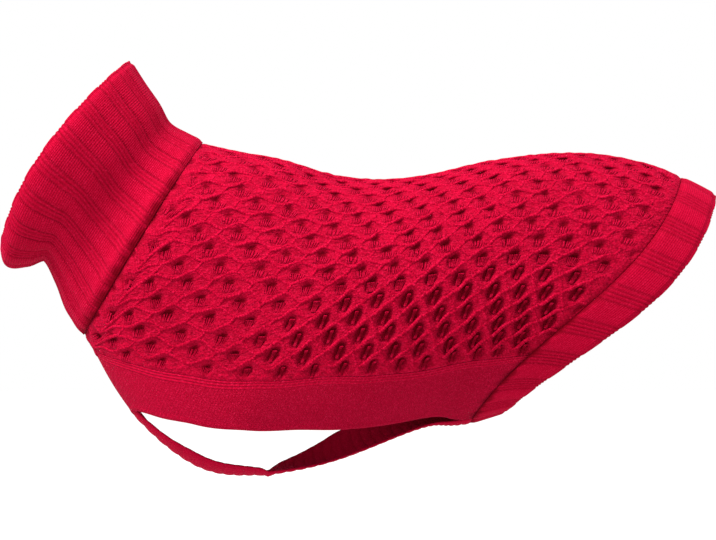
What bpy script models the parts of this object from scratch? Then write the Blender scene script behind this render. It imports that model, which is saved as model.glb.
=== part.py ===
"""A knitted dog sweater, filled out as if worn: rib roll neck, honeycomb back panel, two plain
leg-opening edgings, a rib belly strap and a rib hem band.

The dog faces -X, its left side is -Y and +Z is up. The origin lies on the cloth's inner face at the
top of the back, where the wearer carries it. One tube of slanted rings gives the inner face of
every piece; each piece is a patch of that tube, with its wall and relief raised outwards.
"""
import bpy
import numpy as np

MM = 0.001

# ---- driving sizes -------------------------------------------------------------------------
SEAM_GAP = 0.3 * MM        # clearance where two pieces are sewn together
SEAM_WALL = 2.2 * MM       # thickness of every cloth edge that is sewn
FREE_EDGE = 0.35           # share of the wall left at a free edge, which is rounded off
EGG = 0.08                 # how much fuller the back half of a ring is than its belly half

COLLAR_WALL = 2.2 * MM     # two layers of fine rib lying on each other
COLLAR_RIB = 0.9 * MM      # height of a rib over the grooves between ribs
COLLAR_GROUPS = 20         # repeats of one wide rib and its fine ribs, round the neck
COLLAR_FINE_RIBS = 3       # fine ribs in a repeat
COLLAR_PLAIN_POINTS = 40   # points round the collar's plain inner face

PANEL_WALL = 1.2 * MM      # floor of a honeycomb pit
PANEL_STRAND = 1.8 * MM    # height of the strands over the pits
PIT_HALF_LENGTH = 0.25     # reach of a pit along its row and across it, as shares of a repeat
PIT_HALF_WIDTH = 0.52
PITS_ALONG = 15            # pits in one row, neck to hem
PIT_ROWS = 34              # rows of pits round the back, edging to edging
PLAIN_ROWS = 24            # rows of the back panel's plain inner face

EDGING_WALL = 2.0 * MM

STRAP_WALL = 1.9 * MM
STRAP_RIB = 0.6 * MM
STRAP_RIBS = 22            # ribs across the strap, chest to belly

HEM_WALL = 1.9 * MM
HEM_RIB = 0.9 * MM
HEM_GROUPS = 20            # repeats of one wide rib and its fine ribs, round the hem
HEM_FINE_RIBS = 4
HEM_PLAIN_POINTS = 48

PLACE_RIM = -1.75          # places of the rings where one piece ends and the next begins
PLACE_NECK_SEAM = 0.0
PLACE_STRAP_FRONT = 1.15
PLACE_HEM_SEAM = 7.0
PLACE_HEM_EDGE = 7.5
SEAM_REACH = 0.02          # what lies this near a seam ring's place ends in that ring's plane
NUDGE = 1e-4               # small change of place or angle, for measuring directions on the tube

COLLAR_STEPS = (0.0, 0.04, 0.15, 0.3, 0.43, 0.56, 0.7, 0.85, 1.0)   # shares of each band's length
HEM_STEPS = (0.0, 0.5, 0.93, 1.0)                                   # at which it has a row of points
EDGING_OUTER_ROWS = 4      # rows of each edging's outer and inner face, seam to free edge
EDGING_INNER_ROWS = 6
STRAP_OUTER_SHARES = (-1.0, -0.85, 0.0, 0.85, 1.0)   # across the strap, -1 at its left edge
STRAP_INNER_ROWS = 4

FINE_COLUMNS = 4 * PITS_ALONG   # steps of the back panel's outer grid, four to a pit
CHEST_COLUMN = 2                # the step at which the back panel's edges part over the chest
PLAIN_COLUMNS = [0, *range(CHEST_COLUMN, FINE_COLUMNS - 1, 4), FINE_COLUMNS]
PLACE_CHEST_POINT = PLACE_HEM_SEAM * CHEST_COLUMN / FINE_COLUMNS

# ---- shape tables --------------------------------------------------------------------------
# The rings of the tube, from the collar's rim to the hem's edge, in mm. Each is slanted: it runs
# from a point on the back line to one on the belly line. bow pushes its sides tailwards, and
# bow_high is how much more of that push falls near the back than near the belly.
RING_COLUMNS = ("place", "back_x", "back_z", "belly_x", "belly_z", "half_width", "bow", "bow_high")
RINGS = (
    (-1.75, -189.5, 91.5, -286.0, -47.0, 63.0, -10.5, -0.25),
    (-1.50, -184.0, 83.0, -277.0, -53.0, 64.0, -9.5, -0.25),
    (-1.25, -175.5, 70.0, -267.5, -60.0, 61.5, -7.5, 0.0),
    (-1.00, -167.5, 58.0, -258.5, -68.0, 57.5, -4.5, 0.0),
    (-0.68, -160.0, 44.5, -247.5, -81.0, 52.5, -1.5, 0.0),
    (-0.32, -146.0, 35.5, -234.5, -99.5, 53.0, 0.0, 0.0),
    (0.00, -134.0, 28.5, -222.5, -115.5, 59.5, 0.0, 0.0),
    (1.00, -80.5, 17.0, -190.5, -168.5, 69.0, 0.0, 0.0),
    (2.00, -28.5, 2.5, -141.0, -217.0, 74.0, 0.0, 0.0),
    (3.00, 25.0, 1.0, -90.0, -224.5, 75.0, 0.0, 0.0),
    (4.00, 77.5, 11.5, -41.0, -217.0, 73.5, 0.0, 0.0),
    (5.00, 129.5, 19.5, 6.0, -200.0, 70.0, 0.5, 1.0),
    (6.00, 181.0, 17.5, 43.5, -187.0, 66.0, 3.0, 2.0),
    (7.00, 235.5, 2.5, 72.5, -183.0, 61.5, 7.5, 2.4),
    (7.50, 260.5, -11.0, 100.0, -174.5, 58.0, 17.5, 0.9),
)

# The collar folds in under the throat: how far its belly line is moved at each place, in mm.
NOTCH_COLUMNS = ("place", "x", "z")
NOTCH_ROWS = (
    (-1.75, 0.0, 0.0),
    (-1.50, -4.5, -8.5),
    (-1.25, -0.5, -1.5),
    (-1.00, 5.5, 10.0),
    (-0.68, 4.0, 4.5),
    (-0.32, 0.5, 0.5),
    (0.00, 0.0, 0.0),
)
NOTCH_FOCUS = 4            # the higher, the closer to the belly line the fold keeps

# The edging, from the chest seam back to the hem. seam_* is where it is sewn to the back panel,
# edge_* is its free edge; both are a ring place and an angle round the ring from the back line.
EDGING_COLUMNS = ("share", "seam_place", "seam_deg", "edge_place", "edge_deg")
EDGING_ROWS = (
    (0.00, PLACE_CHEST_POINT, 180.0, PLACE_STRAP_FRONT, 180.0),
    (0.04, 0.34, 164.0, PLACE_STRAP_FRONT, 174.0),
    (0.09, 0.55, 151.0, PLACE_STRAP_FRONT, 165.5),
    (0.14, 0.78, 141.5, 1.23, 158.3),
    (0.20, 1.05, 133.0, 1.41, 150.1),
    (0.30, 1.60, 119.5, 1.82, 138.3),
    (0.42, 2.40, 110.0, 2.49, 131.9),
    (0.52, 3.10, 109.0, 3.10, 132.6),
    (0.66, 4.10, 113.0, 4.10, 138.2),
    (0.80, 5.20, 118.5, 5.20, 149.0),
    (0.90, 6.10, 119.0, 6.10, 156.5),
    (1.00, PLACE_HEM_SEAM, 116.0, PLACE_HEM_SEAM, 165.5),
)

# The strap's cross-sections: roll_deg turns each about the strap's own length, left edge up, and
# half_width is in mm. Its two ends lie in the tube, and between them it hangs along the belly line.
STRAP_COLUMNS = ("place", "roll_deg", "half_width")
STRAP_ROWS = (
    (PLACE_STRAP_FRONT, 0.0, 14.0),
    (1.50, 7.0, 14.0),
    (2.00, 16.0, 14.0),
    (2.50, 14.0, 14.0),
    (3.00, 7.0, 14.0),
    (3.30, -9.0, 14.0),
    (3.65, -20.0, 14.0),
    (4.00, -31.0, 14.0),
    (4.40, -42.0, 14.0),
    (4.80, -43.0, 14.0),
    (5.60, -28.0, 14.0),
    (6.40, -8.0, 13.5),
    (PLACE_HEM_SEAM, 0.0, 13.0),
)

# Creases pressed into the back panel on both sides: a straight line between two spots on the
# tube, how deep it is and how far it reaches to each side, in mm.
CREASE_COLUMNS = ("place_a", "deg_a", "place_b", "deg_b", "depth", "reach")
CREASES = (
    (0.30, 128.0, 0.52, 108.0, 1.2, 6.0),
    (0.22, 112.0, 0.40, 97.0, 0.9, 5.0),
)

COLOURS = {
    "collar": (0.62, 0.004, 0.040),
    "back_panel": (0.58, 0.002, 0.036),
    "edging_left": (0.50, 0.001, 0.030),
    "edging_right": (0.50, 0.001, 0.030),
    "belly_strap": (0.46, 0.001, 0.030),
    "hem_band": (0.55, 0.002, 0.036),
}


# ---- smooth tables -------------------------------------------------------------------------
def named_table(columns, rows):
    """Return a table as a dictionary of one number array for each column name."""
    values = np.array(rows, dtype=float)
    return {name: values[:, index] for index, name in enumerate(columns)}


def natural_spline(knots, values):
    """Return a function that runs smoothly through values at knots (a natural cubic spline)."""
    count = len(knots)
    steps = np.diff(knots)
    matrix = np.eye(count)
    right = np.zeros(count)
    for row in range(1, count - 1):
        matrix[row, row - 1:row + 2] = (steps[row - 1], 2 * (steps[row - 1] + steps[row]), steps[row])
        slopes = np.diff(values[row - 1:row + 2]) / steps[row - 1:row + 1]
        right[row] = 6 * (slopes[1] - slopes[0])
    bends = np.linalg.solve(matrix, right)

    def curve(at):
        at = np.asarray(at, dtype=float)
        low = np.clip(np.searchsorted(knots, at, side="right") - 1, 0, count - 2)
        step = steps[low]
        before = (knots[low + 1] - at) / step
        after = (at - knots[low]) / step
        bend = (before ** 3 - before) * bends[low] + (after ** 3 - after) * bends[low + 1]
        return before * values[low] + after * values[low + 1] + bend * step ** 2 / 6

    return curve


def steady_curve(knots, values):
    """Return a function through values at knots that never swings past them (monotone cubic)."""
    steps = np.diff(knots)
    slopes = np.diff(values) / steps
    tangents = np.concatenate([slopes[:1], np.zeros(len(slopes) - 1), slopes[-1:]])
    same_way = slopes[:-1] * slopes[1:] > 0
    means = 2 * slopes[:-1] * slopes[1:] / np.where(same_way, slopes[:-1] + slopes[1:], 1.0)
    tangents[1:-1] = np.where(same_way, means, 0.0)

    def curve(at):
        at = np.asarray(at, dtype=float)
        low = np.clip(np.searchsorted(knots, at, side="right") - 1, 0, len(knots) - 2)
        step = steps[low]
        share = (at - knots[low]) / step
        rise = share ** 2 * (3 - 2 * share)
        leave = share * (1 - share) ** 2 * step * tangents[low]
        arrive = share ** 2 * (share - 1) * step * tangents[low + 1]
        return values[low] * (1 - rise) + values[low + 1] * rise + leave + arrive

    return curve


def smooth_table(columns, rows, curve_maker):
    """Return a dictionary of smooth functions of the first column, one for each other column."""
    table = named_table(columns, rows)
    knots = table[columns[0]]
    return {name: curve_maker(knots, table[name]) for name in columns[1:]}


RING = smooth_table(RING_COLUMNS, RINGS, natural_spline)
NOTCH = smooth_table(NOTCH_COLUMNS, NOTCH_ROWS, steady_curve)
EDGING = smooth_table(EDGING_COLUMNS, EDGING_ROWS, steady_curve)
STRAP = smooth_table(STRAP_COLUMNS, STRAP_ROWS, steady_curve)


# ---- the tube ------------------------------------------------------------------------------
def tube_smooth(place, angle):
    """Return points of the tube's smooth inner face; angle is in radians from the back line."""
    back = np.stack([RING["back_x"](place), RING["back_z"](place)], axis=-1) * MM
    belly = np.stack([RING["belly_x"](place), RING["belly_z"](place)], axis=-1) * MM
    centre = (back + belly) / 2
    up = (back - belly) / 2
    height = np.linalg.norm(up, axis=-1, keepdims=True)
    tailwards = np.stack([up[..., 1], -up[..., 0]], axis=-1) / height
    cosine = np.cos(angle)
    sine = np.sin(angle)
    push = RING["bow"](place) * MM * sine ** 2 * (1 + RING["bow_high"](place) * cosine)
    flat = centre + up * cosine[..., None] + tailwards * push[..., None]
    collar_place = np.minimum(place, PLACE_NECK_SEAM)
    notch = np.stack([NOTCH["x"](collar_place), NOTCH["z"](collar_place)], axis=-1) * MM
    flat = flat + notch * ((1 - cosine[..., None]) / 2) ** NOTCH_FOCUS
    across = RING["half_width"](place) * MM * sine * (1 + EGG * cosine)
    return np.stack([flat[..., 0], across, flat[..., 1]], axis=-1)


def tube_normal(place, angle):
    """Return unit normals of the smooth tube, pointing out of the hollow."""
    along = tube_smooth(place + NUDGE, angle) - tube_smooth(place - NUDGE, angle)
    around = tube_smooth(place, angle + NUDGE) - tube_smooth(place, angle - NUDGE)
    normal = np.cross(along, around)
    return normal / np.linalg.norm(normal, axis=-1, keepdims=True)


def crease_depth(points):
    """Return how far each point is pressed in by the creases, in metres."""
    depth = np.zeros(points.shape[:-1])
    for row in CREASES:
        crease = dict(zip(CREASE_COLUMNS, row))
        for side in (-1, 1):
            ends = tube_smooth(np.array([crease["place_a"], crease["place_b"]]),
                               side * np.radians([crease["deg_a"], crease["deg_b"]]))
            line = ends[1] - ends[0]
            share = np.clip((points - ends[0]) @ line / (line @ line), 0, 1)
            away = np.linalg.norm(points - ends[0] - share[..., None] * line, axis=-1)
            press = crease["depth"] * MM * np.exp(-(away / (crease["reach"] * MM)) ** 2)
            depth = np.maximum(depth, press)
    return depth


def ring_outward(place, angle, normals):
    """Return the ways out that stay in each ring's own plane and gain as much height as normals.

    Two pieces that are sewn along a ring both end in that plane, so their cut edges lie side by
    side however finely each is divided.
    """
    rise = np.stack([RING["back_x"](place) - RING["belly_x"](place),
                     RING["back_z"](place) - RING["belly_z"](place)], axis=-1)
    rise = rise / np.linalg.norm(rise, axis=-1, keepdims=True)
    tailwards = np.stack([rise[..., 1], np.zeros(rise.shape[:-1]), -rise[..., 0]], axis=-1)
    lean = np.sum(normals * tailwards, axis=-1, keepdims=True)
    return (normals - lean * tailwards) / (1 - lean ** 2)


def tube_face(place, angle, at_ring_seam):
    """Return inner-face points with the creases pressed in, and the ways out from them."""
    points = tube_smooth(place, angle)
    normals = tube_normal(place, angle)
    outward = np.where(at_ring_seam[..., None], ring_outward(place, angle, normals), normals)
    return points - normals * crease_depth(points)[..., None], outward


def place_step(place, angle, length):
    """Return the change of place that moves a point by length along the tube."""
    along = tube_smooth(place + NUDGE, angle) - tube_smooth(place - NUDGE, angle)
    return length * 2 * NUDGE / np.linalg.norm(along, axis=-1)


def angle_step(place, angle, length):
    """Return the change of angle that moves a point by length round the tube."""
    around = tube_smooth(place, angle + NUDGE) - tube_smooth(place, angle - NUDGE)
    return length * 2 * NUDGE / np.linalg.norm(around, axis=-1)


# ---- solids from grids ---------------------------------------------------------------------
def number_grid(vertices, points):
    """Append a grid of points to vertices and return their numbers, in the grid's shape."""
    first = len(vertices)
    vertices.extend(map(tuple, points.reshape(-1, 3)))
    return np.arange(first, first + points.shape[0] * points.shape[1]).reshape(points.shape[:2])


def grid_faces(numbers, outwards):
    """Return the quads of a grid of vertex numbers; outwards picks which way they face."""
    faces = []
    for row in range(numbers.shape[0] - 1):
        for column in range(numbers.shape[1] - 1):
            quad = [numbers[row, column], numbers[row + 1, column],
                    numbers[row + 1, column + 1], numbers[row, column + 1]]
            faces.append(quad if outwards else quad[::-1])
    return faces


def zip_edges(first, second, first_at, second_at):
    """Return triangles between two rows of vertex numbers that run side by side.

    first_at and second_at say how far along each vertex is; the nearer one is always joined next.
    """
    faces = []
    here = 0
    there = 0
    while here < len(first) - 1 or there < len(second) - 1:
        first_is_next = here < len(first) - 1 and (
            there == len(second) - 1 or first_at[here + 1] <= second_at[there + 1] + 1e-9)
        if first_is_next:
            faces.append([first[here], first[here + 1], second[there]])
            here += 1
        else:
            faces.append([first[here], second[there + 1], second[there]])
            there += 1
    return faces


def wall_solid(name, outer, inner, outer_at, inner_at, ring):
    """Make a closed wall between an outer and an inner grid of points, and return its object.

    outer_at and inner_at hold how far along each grid's rows and columns lie, and the two grids
    may be divided differently. With ring, each row closes on itself: the points leave out the
    repeated last column, which the second array of each _at still names.
    """
    vertices = []
    outside = number_grid(vertices, outer)
    inside = number_grid(vertices, inner)
    if ring:
        outside = np.column_stack([outside, outside[:, 0]])
        inside = np.column_stack([inside, inside[:, 0]])
    faces = grid_faces(outside, True) + grid_faces(inside, False)
    faces += zip_edges(outside[0], inside[0], outer_at[1], inner_at[1])
    faces += [face[::-1] for face in zip_edges(outside[-1], inside[-1], outer_at[1], inner_at[1])]
    if not ring:
        faces += [face[::-1] for face in zip_edges(outside[:, 0], inside[:, 0], outer_at[0], inner_at[0])]
        faces += zip_edges(outside[:, -1], inside[:, -1], outer_at[0], inner_at[0])
    mesh = bpy.data.meshes.new(name)
    mesh.from_pydata([tuple(map(float, vertex)) for vertex in vertices], [],
                     [list(map(int, face)) for face in faces])
    mesh.validate()
    mesh.shade_smooth()
    piece = bpy.data.objects.new(name, mesh)
    bpy.context.scene.collection.objects.link(piece)
    mesh.materials.append(cloth_material(name))
    return piece


def cloth_material(name):
    """Return the piece's own plain cloth material."""
    material = bpy.data.materials.new(name)
    material.use_nodes = True
    shader = material.node_tree.nodes["Principled BSDF"]
    shader.inputs["Base Color"].default_value = (*COLOURS[name], 1.0)
    shader.inputs["Roughness"].default_value = 0.9
    shader.inputs["Metallic"].default_value = 0.0
    material.diffuse_color = (*COLOURS[name], 1.0)
    return material


def patch_solid(name, chart, wall, outer_at, inner_at, flip=False):
    """Make a piece that is a patch of the tube; flip is for a patch that runs the other way round."""
    grids = []
    for (shares_u, shares_v), is_outer in ((outer_at, True), (inner_at, False)):
        u, v = np.meshgrid(shares_u, shares_v, indexing="ij")
        place, angle = chart(u, v)
        at_ring_seam = np.abs(place - PLACE_HEM_SEAM) < SEAM_REACH
        at_ring_seam |= np.abs(place - PLACE_NECK_SEAM) < SEAM_REACH
        points, outward = tube_face(place, angle, at_ring_seam)
        if is_outer:
            points = points + outward * wall(u, v)[..., None]
        grids.append(points[:, ::-1] if flip else points)
    ways = [(at[0], 1 - at[1][::-1]) if flip else at for at in (outer_at, inner_at)]
    return wall_solid(name, *grids, *ways, ring=False)


# ---- relief --------------------------------------------------------------------------------
# One repeat of wide-rib knit starts with a broad smooth rib, and fine ribs take up the rest of it.
WIDE_RIB_SHARES = np.array([0.00, 0.05, 0.55])
WIDE_RIB_HEIGHTS = np.array([0.00, 0.95, 0.95])
WIDE_RIB_END = 0.60
WIDE_RIB_MIDDLE = WIDE_RIB_END / 2      # a broad rib's middle lies on the back line
FINE_RIB_HEIGHT = 0.75


def rib_corners(fine_ribs):
    """Return the shares of a repeat at which the relief has its corners, and their heights."""
    fine_shares = np.linspace(WIDE_RIB_END, 1, 2 * fine_ribs + 1)[:-1]
    fine_heights = np.tile([0.0, FINE_RIB_HEIGHT], fine_ribs)
    return np.append(WIDE_RIB_SHARES, fine_shares), np.append(WIDE_RIB_HEIGHTS, fine_heights)


def rib_ring(groups, fine_ribs):
    """Return the angles, in radians, of the relief's corners round a ring, and their heights."""
    shares, heights = rib_corners(fine_ribs)
    turns = (np.arange(groups)[:, None] - WIDE_RIB_MIDDLE + shares[None, :]).ravel() / groups
    return 2 * np.pi * turns, np.tile(heights, groups)


def rib_band(name, places, knit, wall, rib, soft_ends, sewn_at):
    """Make a closed rib-knit band.

    knit is its repeats, fine ribs in a repeat and points round its plain inner face; soft_ends
    are the shares of the wall left at its two edges.
    """
    groups, fine_ribs, plain_points = knit
    fine_angles, relief = rib_ring(groups, fine_ribs)
    plain_angles = fine_angles[0] + 2 * np.pi * np.arange(plain_points) / plain_points
    ends = np.ones(len(places))
    ends[0] = soft_ends[0]
    ends[-1] = soft_ends[1]
    grid_place, grid_angle = np.meshgrid(places, fine_angles, indexing="ij")
    at_ring_seam = np.abs(grid_place - sewn_at) < SEAM_REACH
    points, outward = tube_face(grid_place, grid_angle, at_ring_seam)
    height = (wall + rib * relief) * ends[:, None]
    height = np.where(at_ring_seam, SEAM_WALL, height)
    outer = points + outward * height[..., None]
    grid_place, grid_angle = np.meshgrid(places, plain_angles, indexing="ij")
    inner, _ = tube_face(grid_place, grid_angle, np.zeros(grid_place.shape, dtype=bool))
    outer_at = (places, np.append(fine_angles, fine_angles[0] + 2 * np.pi))
    inner_at = (places, np.append(plain_angles, plain_angles[0] + 2 * np.pi))
    return wall_solid(name, outer, inner, outer_at, inner_at, ring=True)


def honeycomb_height(u, v):
    """Return the height, 0 to 1, of the honeycomb strands at shares u along and v round."""
    row = v * PIT_ROWS - 0.5
    height = np.ones_like(u)
    for shift in (-1, 0, 1):
        nearest_row = np.round(row) + shift
        column = u * PITS_ALONG - 0.5 * (nearest_row % 2)
        off_along = (column - np.floor(column)) - 0.5
        off_round = row - nearest_row
        pit = np.exp(-(off_along / PIT_HALF_LENGTH) ** 2 - (off_round / PIT_HALF_WIDTH) ** 2)
        height = np.minimum(height, 1 - pit)
    return height


# ---- the pieces ----------------------------------------------------------------------------
def make_collar():
    """The roll neck: a ribbed tube, thickest past its soft rim, sewn in at the neck seam."""
    end = PLACE_NECK_SEAM - place_step(np.array(PLACE_NECK_SEAM), np.array(np.pi / 2), SEAM_GAP / 2)
    places = PLACE_RIM + (end - PLACE_RIM) * np.array(COLLAR_STEPS)
    knit = (COLLAR_GROUPS, COLLAR_FINE_RIBS, COLLAR_PLAIN_POINTS)
    return rib_band("collar", places, knit, COLLAR_WALL, COLLAR_RIB, (FREE_EDGE, 1.0), PLACE_NECK_SEAM)


def make_hem_band():
    """The rib band round the rear opening, from the back panel's seam to its free edge."""
    start = PLACE_HEM_SEAM + place_step(np.array(PLACE_HEM_SEAM), np.array(np.pi / 2), SEAM_GAP / 2)
    places = start + (PLACE_HEM_EDGE - start) * np.array(HEM_STEPS)
    knit = (HEM_GROUPS, HEM_FINE_RIBS, HEM_PLAIN_POINTS)
    return rib_band("hem_band", places, knit, HEM_WALL, HEM_RIB, (1.0, FREE_EDGE), PLACE_HEM_SEAM)


def edging_share(place):
    """Return the edging's share at which its seam with the back panel reaches a ring place."""
    shares = np.linspace(0, 1, 401)
    return np.interp(place, EDGING["seam_place"](shares), shares)


def panel_limit(place):
    """Return the angle, in radians, of the back panel's lower edge at a ring place."""
    seam_angle = np.radians(EDGING["seam_deg"](edging_share(place)))
    limit = np.where(place < PLACE_CHEST_POINT, np.pi, seam_angle)
    return limit - angle_step(place, limit, SEAM_GAP / 2)


def panel_chart(u, v):
    """Place the back panel: u runs from neck to hem, v from the left edging to the right one."""
    place = PLACE_NECK_SEAM + (PLACE_HEM_SEAM - PLACE_NECK_SEAM) * u
    limit = panel_limit(place)
    angle = limit * (2 * v - 1)
    trim = place_step(place, angle, SEAM_GAP / 2)
    return place + trim * (u == 0) - trim * (u == 1), angle


def panel_wall(u, v):
    """Return the back panel's thickness: honeycomb that settles to the seam's own at every edge."""
    edge = np.minimum.reduce([u * PITS_ALONG, (1 - u) * PITS_ALONG, v * PIT_ROWS, (1 - v) * PIT_ROWS])
    inside = np.clip(edge / 0.5, 0, 1)
    honeycomb = PANEL_WALL + PANEL_STRAND * honeycomb_height(u, v)
    return SEAM_WALL * (1 - inside) + honeycomb * inside


def make_back_panel():
    """The honeycomb panel over the back and sides, closed round the throat by its front edges."""
    fine = np.linspace(0, 1, FINE_COLUMNS + 1)
    outer_at = (fine, np.linspace(0, 1, PIT_ROWS * 2 + 1))
    inner_at = (fine[PLAIN_COLUMNS], np.linspace(0, 1, PLAIN_ROWS + 1))
    return patch_solid("back_panel", panel_chart, panel_wall, outer_at, inner_at)


def edging_wall(u, v):
    """Return the edging's thickness: sewn edges have the seam's, and its free edge is rounded off."""
    sewn = (v == 0) | (u == 0) | (u == 1)
    return np.where(v == 1, EDGING_WALL * FREE_EDGE, np.where(sewn, SEAM_WALL, EDGING_WALL))


def make_edging(name, side):
    """One leg-opening edging; side is -1 for the dog's left and 1 for its right."""
    def chart(u, v):
        seam_place = EDGING["seam_place"](u)
        seam_angle = np.radians(EDGING["seam_deg"](u))
        place = seam_place + (EDGING["edge_place"](u) - seam_place) * v
        angle = seam_angle + (np.radians(EDGING["edge_deg"](u)) - seam_angle) * v
        gap_angle = angle_step(place, angle, SEAM_GAP / 2)
        gap_place = place_step(place, angle, SEAM_GAP / 2)
        angle = angle - gap_angle * (u == 0) + gap_angle * ((v == 0) & (u > 0))
        return place - gap_place * (u == 1) + gap_place * ((u == 0) & (v == 0)), side * angle

    places = np.linspace(PLACE_NECK_SEAM, PLACE_HEM_SEAM, FINE_COLUMNS + 1)
    outer_at = (edging_share(places[CHEST_COLUMN:]), np.linspace(0, 1, EDGING_OUTER_ROWS + 1))
    inner_at = (edging_share(places[PLAIN_COLUMNS[1:]]), np.linspace(0, 1, EDGING_INNER_ROWS + 1))
    return patch_solid(name, chart, edging_wall, outer_at, inner_at, flip=side < 0)


def strap_grid(places, shares, height):
    """Return the strap's points; shares run across it, -1 to 1, and height is over its inner face."""
    rows = []
    for index, place in enumerate(places):
        roll = np.radians(STRAP["roll_deg"](place))
        half_width = STRAP["half_width"](place) * MM
        middle = tube_smooth(np.array(place), np.array(np.pi))
        half_angle = angle_step(np.array(place), np.array(np.pi), half_width)
        angles = np.pi + half_angle * shares
        places_here = np.full_like(angles, place)
        spots, outward = tube_face(places_here, angles, abs(places_here - PLACE_HEM_SEAM) < SEAM_REACH)
        ahead = tube_smooth(np.array(place + 1e-3), np.array(np.pi)) - middle
        ahead = ahead / np.linalg.norm(ahead)
        lift = -tube_normal(np.array(place), np.array(np.pi)) * half_width * abs(np.sin(roll))
        section = spots + outward * height[index][:, None] - middle
        lengthways = (section @ ahead)[:, None] * ahead * (1 - np.cos(roll))
        turned = section * np.cos(roll) - np.cross(ahead, section) * np.sin(roll) + lengthways
        rows.append(middle + lift + turned)
    return np.array(rows)


def make_belly_strap():
    """The rib strap between the legs, twisting on its way from the chest seam to the hem band."""
    belly = np.array(np.pi)
    first = PLACE_STRAP_FRONT + place_step(np.array(PLACE_STRAP_FRONT), belly, SEAM_GAP)
    last = PLACE_HEM_SEAM - place_step(np.array(PLACE_HEM_SEAM), belly, SEAM_GAP / 2)
    places = np.linspace(first, last, STRAP_RIBS * 2 + 1)
    ribs = np.arange(len(places)) % 2
    shares = np.array(STRAP_OUTER_SHARES)
    ends = np.where(np.abs(shares) == 1, FREE_EDGE, 1.0)
    outer = strap_grid(places, shares, (STRAP_WALL + STRAP_RIB * ribs[:, None]) * ends)
    inner_shares = np.linspace(-1, 1, STRAP_INNER_ROWS + 1)
    inner = strap_grid(places, inner_shares, np.zeros((len(places), len(inner_shares))))
    return wall_solid("belly_strap", outer, inner, (places, shares), (places, inner_shares), ring=False)


def main():
    """Build the sweater from an empty scene."""
    for old in list(bpy.data.objects):
        bpy.data.objects.remove(old)
    make_collar()
    make_back_panel()
    make_edging("edging_left", -1)
    make_edging("edging_right", 1)
    make_belly_strap()
    make_hem_band()


main()
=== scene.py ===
"""Looks of a knitted dog sweater: each cloth piece again as fine knitwork on its solid's form.

Every piece is a closed wall on one tube of slanted rings. Angles run round the tube from the line
along the dog's back, towards +Y; places run along it, from the collar's rim to the hem's edge.
Heights are measured outwards from the cloth's inner face.
"""

import bpy
import numpy as np
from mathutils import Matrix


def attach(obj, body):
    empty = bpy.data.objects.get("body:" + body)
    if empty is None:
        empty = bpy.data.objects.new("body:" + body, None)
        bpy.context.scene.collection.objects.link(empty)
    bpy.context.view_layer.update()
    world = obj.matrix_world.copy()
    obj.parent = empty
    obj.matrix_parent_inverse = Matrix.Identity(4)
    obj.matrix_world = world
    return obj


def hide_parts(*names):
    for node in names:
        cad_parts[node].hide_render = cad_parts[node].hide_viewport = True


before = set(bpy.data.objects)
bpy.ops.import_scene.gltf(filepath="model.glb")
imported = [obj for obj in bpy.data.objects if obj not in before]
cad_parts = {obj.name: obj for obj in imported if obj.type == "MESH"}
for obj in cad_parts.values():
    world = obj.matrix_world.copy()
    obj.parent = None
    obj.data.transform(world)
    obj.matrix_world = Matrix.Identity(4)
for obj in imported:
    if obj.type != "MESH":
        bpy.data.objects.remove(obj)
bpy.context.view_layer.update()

MM = 0.001

# ---- driving sizes ----
EGG = 0.08  # how much fuller the back half of a ring is than its belly half
NUDGE = 1e-4  # small change of place or angle, for measuring the tube's ways
SEAM_LAP = 0.1 * MM  # how far the edges of two pieces that are sewn together overlap
LAP_PLACES = 0.001  # the collar's and the hem's own part of that, in places

PLACE_RIM = -1.75  # places of the rings where one piece ends and the next begins
PLACE_NECK_SEAM = 0.0
PLACE_STRAP_FRONT = 1.15
PLACE_HEM_SEAM = 7.0
PLACE_HEM_EDGE = 7.5

WIDE_SHARE = 0.60  # the wide rib's share of a repeat of wide-rib knit
COLLAR_COURSES = 34  # knit courses to a place
HEM_COURSES = 38
STRAP_RIBS = 36

PITS_ALONG = 15  # honeycomb pits in one row, neck to hem
PIT_ROWS = 34  # rows of pits round the back, edging to edging

CHEST_COLUMN = 2  # the back panel's edges part over the chest this many 60ths along
FINE_COLUMNS = 60
PLACE_CHEST_POINT = PLACE_HEM_SEAM * CHEST_COLUMN / FINE_COLUMNS

# ---- shape tables, the same as the solids' ----
RING_COLUMNS = ("place", "back_x", "back_z", "belly_x", "belly_z", "half_width", "bow", "bow_high")
RINGS = (
    (-1.75, -189.5, 91.5, -286.0, -47.0, 63.0, -10.5, -0.25),
    (-1.50, -184.0, 83.0, -277.0, -53.0, 64.0, -9.5, -0.25),
    (-1.25, -175.5, 70.0, -267.5, -60.0, 61.5, -7.5, 0.0),
    (-1.00, -167.5, 58.0, -258.5, -68.0, 57.5, -4.5, 0.0),
    (-0.68, -160.0, 44.5, -247.5, -81.0, 52.5, -1.5, 0.0),
    (-0.32, -146.0, 35.5, -234.5, -99.5, 53.0, 0.0, 0.0),
    (0.00, -134.0, 28.5, -222.5, -115.5, 59.5, 0.0, 0.0),
    (1.00, -80.5, 17.0, -190.5, -168.5, 69.0, 0.0, 0.0),
    (2.00, -28.5, 2.5, -141.0, -217.0, 74.0, 0.0, 0.0),
    (3.00, 25.0, 1.0, -90.0, -224.5, 75.0, 0.0, 0.0),
    (4.00, 77.5, 11.5, -41.0, -217.0, 73.5, 0.0, 0.0),
    (5.00, 129.5, 19.5, 6.0, -200.0, 70.0, 0.5, 1.0),
    (6.00, 181.0, 17.5, 43.5, -187.0, 66.0, 3.0, 2.0),
    (7.00, 235.5, 2.5, 72.5, -183.0, 61.5, 7.5, 2.4),
    (7.50, 260.5, -11.0, 100.0, -174.5, 58.0, 17.5, 0.9),
)

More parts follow.
